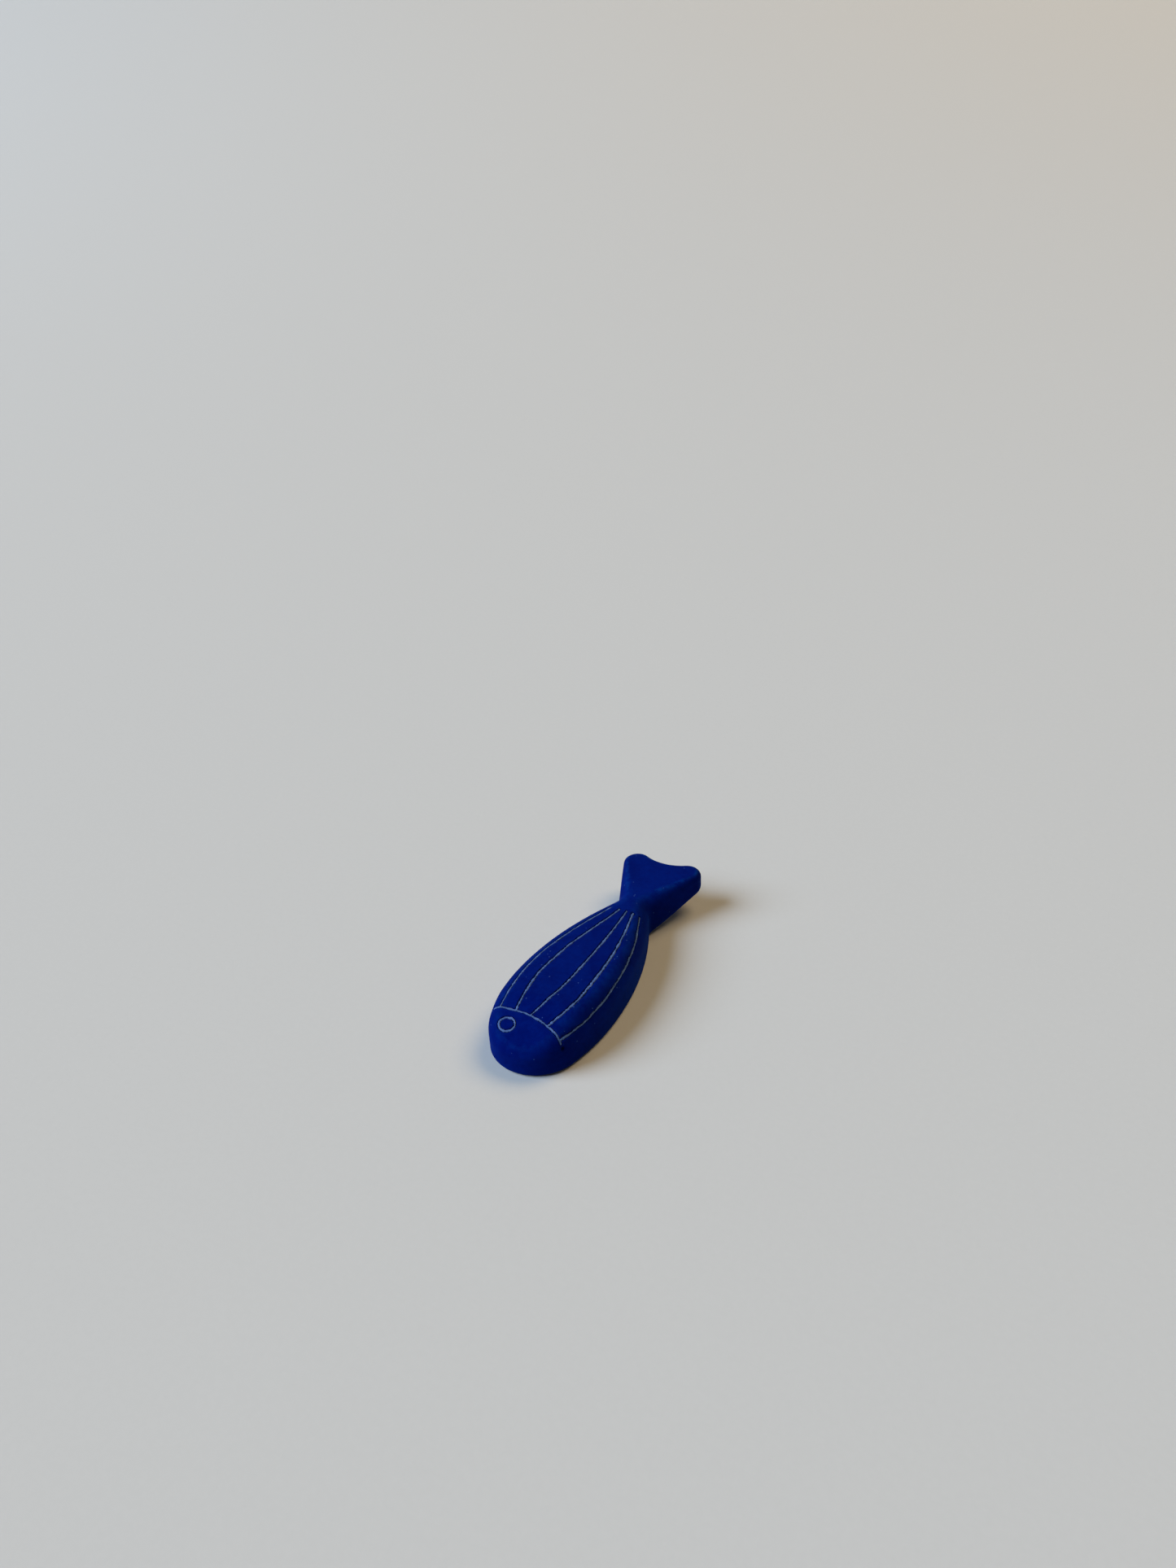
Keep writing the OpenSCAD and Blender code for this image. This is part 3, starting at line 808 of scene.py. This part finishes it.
def paint_material(finish):
    """Matte cobalt paint: cloudy, pale specks, rubbed edges, a painted ridge highlight, painted
    groove shade.
    """
    material, tree, shader, coords = start_material("cobalt_paint")
    mottle = place_group(tree, mottle_group(), coords)
    colour = mix_node(tree, mottle, tuple(finish.paint_deep), tuple(finish.paint))
    patchy = noise_node(tree, coords, 700.0, detail=4.0, rough=0.7)
    patchy = ramp_node(tree, patchy, 0.35, 0.7)
    # Rubbed edges, with a painted highlight along the upper edge's ridge, broken by patchy noise
    wear_and_highlight = math_node(tree, "MULTIPLY", mask_node(tree, "rubbed_and_highlit"), patchy)
    wear_and_highlight = math_node(tree, "MULTIPLY", wear_and_highlight, finish.wear_and_highlight, clamp=True)
    colour = mix_node(tree, wear_and_highlight, colour, tuple(finish.paint_worn_and_highlit))
    broken = noise_node(tree, coords, 1000.0, detail=2.0, rough=0.6)
    broken = ramp_node(tree, broken, 0.38, 0.58, out_low=0.35)
    # Painted shade: the grooves' walls and the chip are darkened, broken by noise
    dark = math_node(tree, "MULTIPLY", mask_node(tree, "shaded"), broken)
    colour = mix_node(tree, dark, colour, tuple(finish.painted_groove_shade))
    specks = place_group(tree, speck_group(), coords, scale=1300.0, size=0.16)
    specks = math_node(tree, "MULTIPLY", specks, 0.5)
    colour = mix_node(tree, specks, colour, tuple(finish.speck))
    tree.links.new(colour, shader.inputs["Base Color"])
    thin = math_node(tree, "MULTIPLY", mottle, 0.08)
    rough = math_node(tree, "ADD", thin, finish.roughness - 0.04)
    tree.links.new(rough, shader.inputs["Roughness"])
    shader.inputs["Specular IOR Level"].default_value = 0.02
    shader.inputs["Specular Tint"].default_value = (0.1, 0.35, 1.0, 1.0)
    shader.inputs["Sheen Weight"].default_value = 0.15
    shader.inputs["Sheen Roughness"].default_value = 0.4
    shader.inputs["Sheen Tint"].default_value = (0.0, 0.14, 0.75, 1.0)
    grain = place_group(tree, grain_group(), coords)
    bump(tree, shader, grain, finish.grain_height, strength=0.6)
    return material


def filling_material(finish):
    """Chalky blue-grey filling, thin and dirty in places. All the lines share it."""
    material = bpy.data.materials.get("line_filling")
    if material:
        return material
    material, tree, shader, coords = start_material("line_filling")
    thin = place_group(tree, mottle_group(), coords, cloud_scale=900.0, fine_scale=3600.0)
    colour = mix_node(tree, thin, tuple(finish.filling), tuple(finish.filling_dull))
    bare = noise_node(tree, coords, 2200.0, detail=3.0, rough=0.7)
    colour = mix_node(tree, ramp_node(tree, bare, 0.62, 0.70), colour, tuple(finish.paint))
    tree.links.new(colour, shader.inputs["Base Color"])
    shader.inputs["Roughness"].default_value = 0.85
    shader.inputs["Specular IOR Level"].default_value = 0.1
    grain = place_group(tree, grain_group(), coords, fine_scale=5200.0, wave_scale=1400.0)
    bump(tree, shader, grain, finish.grain_height, strength=0.8)
    return material


def floor_material(look):
    """Pale matte floor of one colour, with a faint grain."""
    material, tree, shader, coords = start_material("pale_floor")
    fibres = noise_node(tree, coords, 900.0, detail=4.0, rough=0.7)
    fibres = ramp_node(tree, fibres, 0.3, 0.7, out_low=0.985)
    shade = tree.nodes.new("ShaderNodeVectorMath")
    shade.operation = "SCALE"
    shade.inputs[0].default_value = tuple(look.floor)
    tree.links.new(fibres, shade.inputs["Scale"])
    tree.links.new(shade.outputs["Vector"], shader.inputs["Base Color"])
    shader.inputs["Roughness"].default_value = 0.95
    shader.inputs["Specular IOR Level"].default_value = 0.15
    fine = noise_node(tree, coords, 1600.0, detail=3.0, rough=0.6)
    bump(tree, shader, fine, 0.02 * MM, strength=0.3)
    return material


# Pieces


def edge_wear_and_highlight(form, y, step):
    """How a ring is rubbed on its lower edge, and rubbed with a painted highlight on its upper
    ridge, along the fish.
    """
    kind, a = step
    if kind == "sole" and a < math.pi / 2:
        return SOLE_WEAR
    if kind != "shoulder":
        return 0.0
    ridge = math.exp(-((a - RIDGE_PLACE) / RIDGE_WIDTH) ** 2)
    tail = ease((y - form.waist_y) / TAIL_WEAR_AND_HIGHLIGHT_RISE)
    return ridge * (BODY_WEAR_AND_HIGHLIGHT + (1 - BODY_WEAR_AND_HIGHLIGHT) * tail)


def close_ring(bm, form, loop, ring, columns, height):
    """Closes the top or the underside with a grid from side to side and one in each lobe.

    The rows bend towards the notch, so that none crosses its edge."""
    last = len(ring) // 2
    level = last - 2 * NOTCH_STEPS
    half = columns // 2
    stretch = (ring[last].y - ring[level].y) / (ring[level].y - form.waist_y)

    def across(i, j):
        p = ring[-i].lerp(ring[i], j / columns)
        bend = stretch * max(0.0, p.y - form.waist_y)
        p.y += bend * (1 - (2 * j / columns - 1) ** 2)
        if 0 < j < columns and 0 < i:
            p.z = height(p)
        return p

    add_grid(bm, columns, level, across)
    for way in (-1, 1):
        def lobe(k, j, way=way):
            a, b = ring[way * (level + k)], ring[way * (last - k)]
            t = j / half
            p = a.lerp(b, t)
            sag = a.y - b.y + abs(a.x - b.x) / math.tan(loop[last - k][1])
            p.y -= max(0.0, sag) * t * (1 - t)
            if 0 < j < half and k < NOTCH_STEPS:
                p.z = height(p)
            return p

        add_grid(bm, half, NOTCH_STEPS, lobe)


def press_groove(bm, form, look, shaded):
    """Refines the top beside the lines, presses their soft grooves into it and marks them for
    painted shade.
    """
    courses = all_courses(form, look)
    halves = [half for course in courses for half in course.widths]
    tree = kdtree.KDTree(len(halves))
    for i, p in enumerate(p for course in courses for p in course.points):
        tree.insert(p, i)
    tree.balance()
    gill = courses[0].points
    run_out = (gill[-1] - gill[-1 - PIT_STEPS]).normalized()
    pit = gill[-1] + run_out * (PIT_DISTANCE * look.pit_radius)
    highest = cad_box[1][2]

    def near_line(v):
        return (v.co.z > FINE_BOTTOM and v.co.y < form.waist_y
                and tree.find(v.co)[2] < FINE_REACH)

    marked = {v for v in bm.verts
              if near_line(v) or (v.co - pit).length < PIT_REACH * look.pit_radius}
    edges = [e for e in bm.edges if e.verts[0] in marked and e.verts[1] in marked]
    bmesh.ops.subdivide_edges(bm, edges=edges, cuts=FINE_CUTS, use_grid_fill=True)
    soft = look.groove_softness
    for v in bm.verts:
        if not near_line(v):
            continue
        _, index, d = tree.find(v.co)
        half = halves[index] + look.groove_margin
        fall = 1 - ease((d - half + soft) / (2 * soft))
        burr = BURR_HEIGHT * math.exp(-((d - half - BURR_PLACE * soft) / soft) ** 2)
        burr = min(burr, highest - v.co.z)
        x, y = v.co.x, v.co.y
        n = form.skin_normal(x, y)
        # How much painted shade the groove gets here
        v[shaded] = fall
        if fall > LEAST_PRESS:
            v.co = form.skin_point(x, y) - n * (look.groove_depth * fall)
        else:
            v.co = v.co + n * burr
    # The chip is pressed in and marked for painted shade
    for v in bm.verts:
        d = (v.co - pit).length / look.pit_radius
        if d < PIT_FLAT + PIT_RIM:
            fall = 1 - ease((d - PIT_FLAT) / PIT_RIM)
            v.co = v.co - form.skin_normal(v.co.x, v.co.y) * (look.pit_depth * fall)
            v[shaded] = max(v[shaded], fall)


class BuildFishBlock(bpy.types.Operator):
    """Builds the painted fish with its rounded edges and pressed grooves"""

    bl_idname = "rest.fish_block"
    bl_label = "Fish block"

    def execute(self, context):
        form = Form(context.scene.rest_sizes)
        side = form.belly_side(OUTLINE_STEPS)
        loop = side + [(Vector((-p.x, p.y)), math.pi - a) for p, a in side[-2:0:-1]]
        count = len(loop)
        quarter = math.pi / 2
        steps = [("sole", quarter * k / SOLE_RINGS) for k in range(SOLE_RINGS + 1)]
        steps += [("side", k / SIDE_RINGS) for k in range(1, SIDE_RINGS)]
        steps += [("shoulder", k / SHOULDER_RINGS) for k in range(SHOULDER_RINGS + 1)]
        rings = [[form.ring_point(q, step) for q in loop] for step in steps]

        bm = bmesh.new()
        # Mask of rubbed edges, with a painted highlight along the upper edge's ridge
        rubbed_and_highlit = bm.verts.layers.float.new("rubbed_and_highlit")
        # Mask of painted shade in the grooves and the chip
        shaded = bm.verts.layers.float.new("shaded")

        def rub_and_highlight(v, k, i):
            v[rubbed_and_highlit] = edge_wear_and_highlight(form, loop[i % count][0].y, steps[k])

        add_grid(bm, count, len(steps) - 1, lambda k, i: rings[k][i % count], rub_and_highlight)
        close_ring(bm, form, loop, rings[-1], TOP_COLUMNS,
                   lambda p: form.top(p.y) + form.crown(p.x, p.y))
        close_ring(bm, form, loop, rings[0], SOLE_COLUMNS, lambda p: form.sole(p.y))
        bmesh.ops.remove_doubles(bm, verts=bm.verts, dist=MERGE)
        bmesh.ops.dissolve_degenerate(bm, dist=MERGE / 2, edges=bm.edges)
        press_groove(bm, form, context.scene.line_look, shaded)
        bmesh.ops.recalc_face_normals(bm, faces=bm.faces)
        finish_piece("fish_block", bm, paint_material(context.scene.rest_finish),
                     "fish_body")
        return {"FINISHED"}


def build_filling(name, course, finish):
    """A ribbon of filling that lies in its groove, with ragged edges."""
    count = len(course.points)

    def place(i, j):
        i = i % count
        t = 2 * j / FILLING_COLUMNS - 1
        side = course.sides[i]
        before, after = beside(course.points, i, course.closed)
        n = side.cross(after - before).normalized()
        if n.z < 0:
            n = -n
        out = side * (course.edge(i, t > 0) * t)
        lift = FACE_UNEVEN * course.wave(i, FACE_WAVE, course.edge_seed, t * FACE_ROWS)
        drop = EDGE_DROP * abs(t) ** EDGE_POWER
        return course.points[i] + out - n * (course.look.filling_depth + drop - lift)

    bm = bmesh.new()
    add_grid(bm, FILLING_COLUMNS, count if course.closed else count - 1, place)
    if course.closed:
        bmesh.ops.remove_doubles(bm, verts=bm.verts, dist=MERGE)
    made = bmesh.ops.extrude_face_region(bm, geom=list(bm.faces))
    lower = [v for v in made["geom"] if isinstance(v, bmesh.types.BMVert)]
    bmesh.ops.translate(bm, verts=lower, vec=(0, 0, -FILLING_THICKNESS))
    bmesh.ops.recalc_face_normals(bm, faces=bm.faces)
    finish_piece(name, bm, filling_material(finish), course.node)


class BuildEyeRing(bpy.types.Operator):
    """Builds the filled ring of the eye"""

    bl_idname = "rest.eye_ring"
    bl_label = "Eye ring"

    def execute(self, context):
        scene = context.scene
        course = eye_course(Form(scene.rest_sizes), scene.line_look)
        build_filling("eye_filling", course, scene.rest_finish)
        return {"FINISHED"}


class BuildGillLine(bpy.types.Operator):
    """Builds the filled arc of the gill"""

    bl_idname = "rest.gill_line"
    bl_label = "Gill line"

    def execute(self, context):
        scene = context.scene
        course = gill_course(Form(scene.rest_sizes), scene.line_look)
        build_filling("gill_filling", course, scene.rest_finish)
        return {"FINISHED"}


class BuildStripes(bpy.types.Operator):
    """Builds the filled stripes that run from the gill to the waist"""

    bl_idname = "rest.stripes"
    bl_label = "Stripes"

    def execute(self, context):
        scene = context.scene
        form = Form(scene.rest_sizes)
        for name in STRIPES:
            course = stripe_course(form, scene.line_look, name)
            build_filling(name + "_filling", course, scene.rest_finish)
        return {"FINISHED"}


def add_floor(look):
    """A sheet that lies flat under the rest and bends up far behind it."""
    def sweep(i, j):
        run = FLOOR_START + FLOOR_RUN * i / FLOOR_ROWS
        turn = max(0.0, run - FLOOR_BEND) / FLOOR_BEND_RADIUS
        back = min(run, FLOOR_BEND + FLOOR_BEND_RADIUS * math.sin(turn))
        place = RIGHT * (j - FLOOR_COLUMNS // 2) + AWAY * back
        return place + Vector((0, 0, FLOOR_BEND_RADIUS * (1 - math.cos(turn))))

    bm = bmesh.new()
    add_grid(bm, FLOOR_COLUMNS, FLOOR_ROWS, sweep)
    bmesh.ops.recalc_face_normals(bm, faces=bm.faces)
    floor = add_object("floor", bm, floor_material(look))


def add_lamp(scene, name, lamp, power):
    """A round lamp that shines on the rest."""
    (right, away, up), size, colour = lamp
    data = bpy.data.lights.new(name, "AREA")
    data.shape = "DISK"
    data.size = size
    data.energy = power
    data.color = colour
    obj = bpy.data.objects.new(name, data)
    obj.location = RIGHT * right + AWAY * away + Vector((0, 0, up))
    obj.rotation_euler = (-obj.location).to_track_quat("-Z", "Y").to_euler()
    scene.collection.objects.link(obj)


def add_room(scene, look):
    """The room's light, paler round the horizon than above."""
    world = bpy.data.worlds.new("room")
    world.use_nodes = True
    tree = world.node_tree
    background = next(n for n in tree.nodes if n.type == "BACKGROUND")
    background.inputs["Color"].default_value = ROOM_COLOUR
    ray = tree.nodes.new("ShaderNodeTexCoord")
    split = tree.nodes.new("ShaderNodeSeparateXYZ")
    tree.links.new(ray.outputs["Generated"], split.inputs["Vector"])
    level = ramp_node(tree, split.outputs["Z"], 0.0, SKY_START, look.horizon, look.sky)
    tree.links.new(level, background.inputs["Strength"])
    scene.world = world


def add_camera(scene, look):
    """The camera, at the photograph's viewing angle."""
    camera = bpy.data.cameras.new("camera")
    camera.sensor_fit = "AUTO"
    camera.sensor_width = 36.0
    camera.lens = look.lens
    camera.clip_start = 0.01
    view = bpy.data.objects.new("camera", camera)
    turn = Matrix((CAMERA_RIGHT, CAMERA_UP, -CAMERA_VIEW)).transposed()
    view.matrix_world = Matrix.Translation(CAMERA_PLACE) @ turn.to_4x4()
    scene.collection.objects.link(view)
    scene.camera = view


class BuildStage(bpy.types.Operator):
    """Builds the pale floor, the lamps and the camera"""

    bl_idname = "rest.stage"
    bl_label = "Stage"

    def execute(self, context):
        scene = context.scene
        look = scene.stage_look
        add_floor(look)
        add_lamp(scene, "window", WINDOW, look.window_power)
        add_lamp(scene, "room_lamp", ROOM_LAMP, look.room_power)
        add_room(scene, look)
        add_camera(scene, look)
        scene.view_settings.view_transform = "Standard"
        return {"FINISHED"}


class RestPanel(bpy.types.Panel):
    """Lists the rest's sizes and the steps that build it"""

    bl_label = "Chopstick rest"
    bl_idname = "VIEW3D_PT_chopstick_rest"
    bl_space_type = "VIEW_3D"
    bl_region_type = "UI"
    bl_category = "Rest"

    def draw(self, context):
        layout = self.layout
        for group in GROUPS:
            settings = getattr(context.scene, group)
            box = layout.box()
            for name in type(settings).__annotations__:
                box.prop(settings, name)
        for operator in OPERATORS:
            layout.operator(operator.bl_idname)


GROUPS = {
    "rest_sizes": RestSizes,
    "line_look": LineLook,
    "rest_finish": RestFinish,
    "stage_look": StageLook,
}
OPERATORS = (BuildFishBlock, BuildEyeRing, BuildGillLine, BuildStripes, BuildStage)
CLASSES = (*GROUPS.values(), *OPERATORS, RestPanel)


def register():
    for cls in CLASSES:
        bpy.utils.register_class(cls)
    for name, cls in GROUPS.items():
        setattr(bpy.types.Scene, name, bpy.props.PointerProperty(type=cls))


def unregister():
    for name in GROUPS:
        delattr(bpy.types.Scene, name)
    for cls in reversed(CLASSES):
        bpy.utils.unregister_class(cls)


def main():
    register()
    bpy.ops.rest.fish_block()
    bpy.ops.rest.eye_ring()
    bpy.ops.rest.gill_line()
    bpy.ops.rest.stripes()
    bpy.ops.rest.stage()


if __name__ == "__main__":
    main()
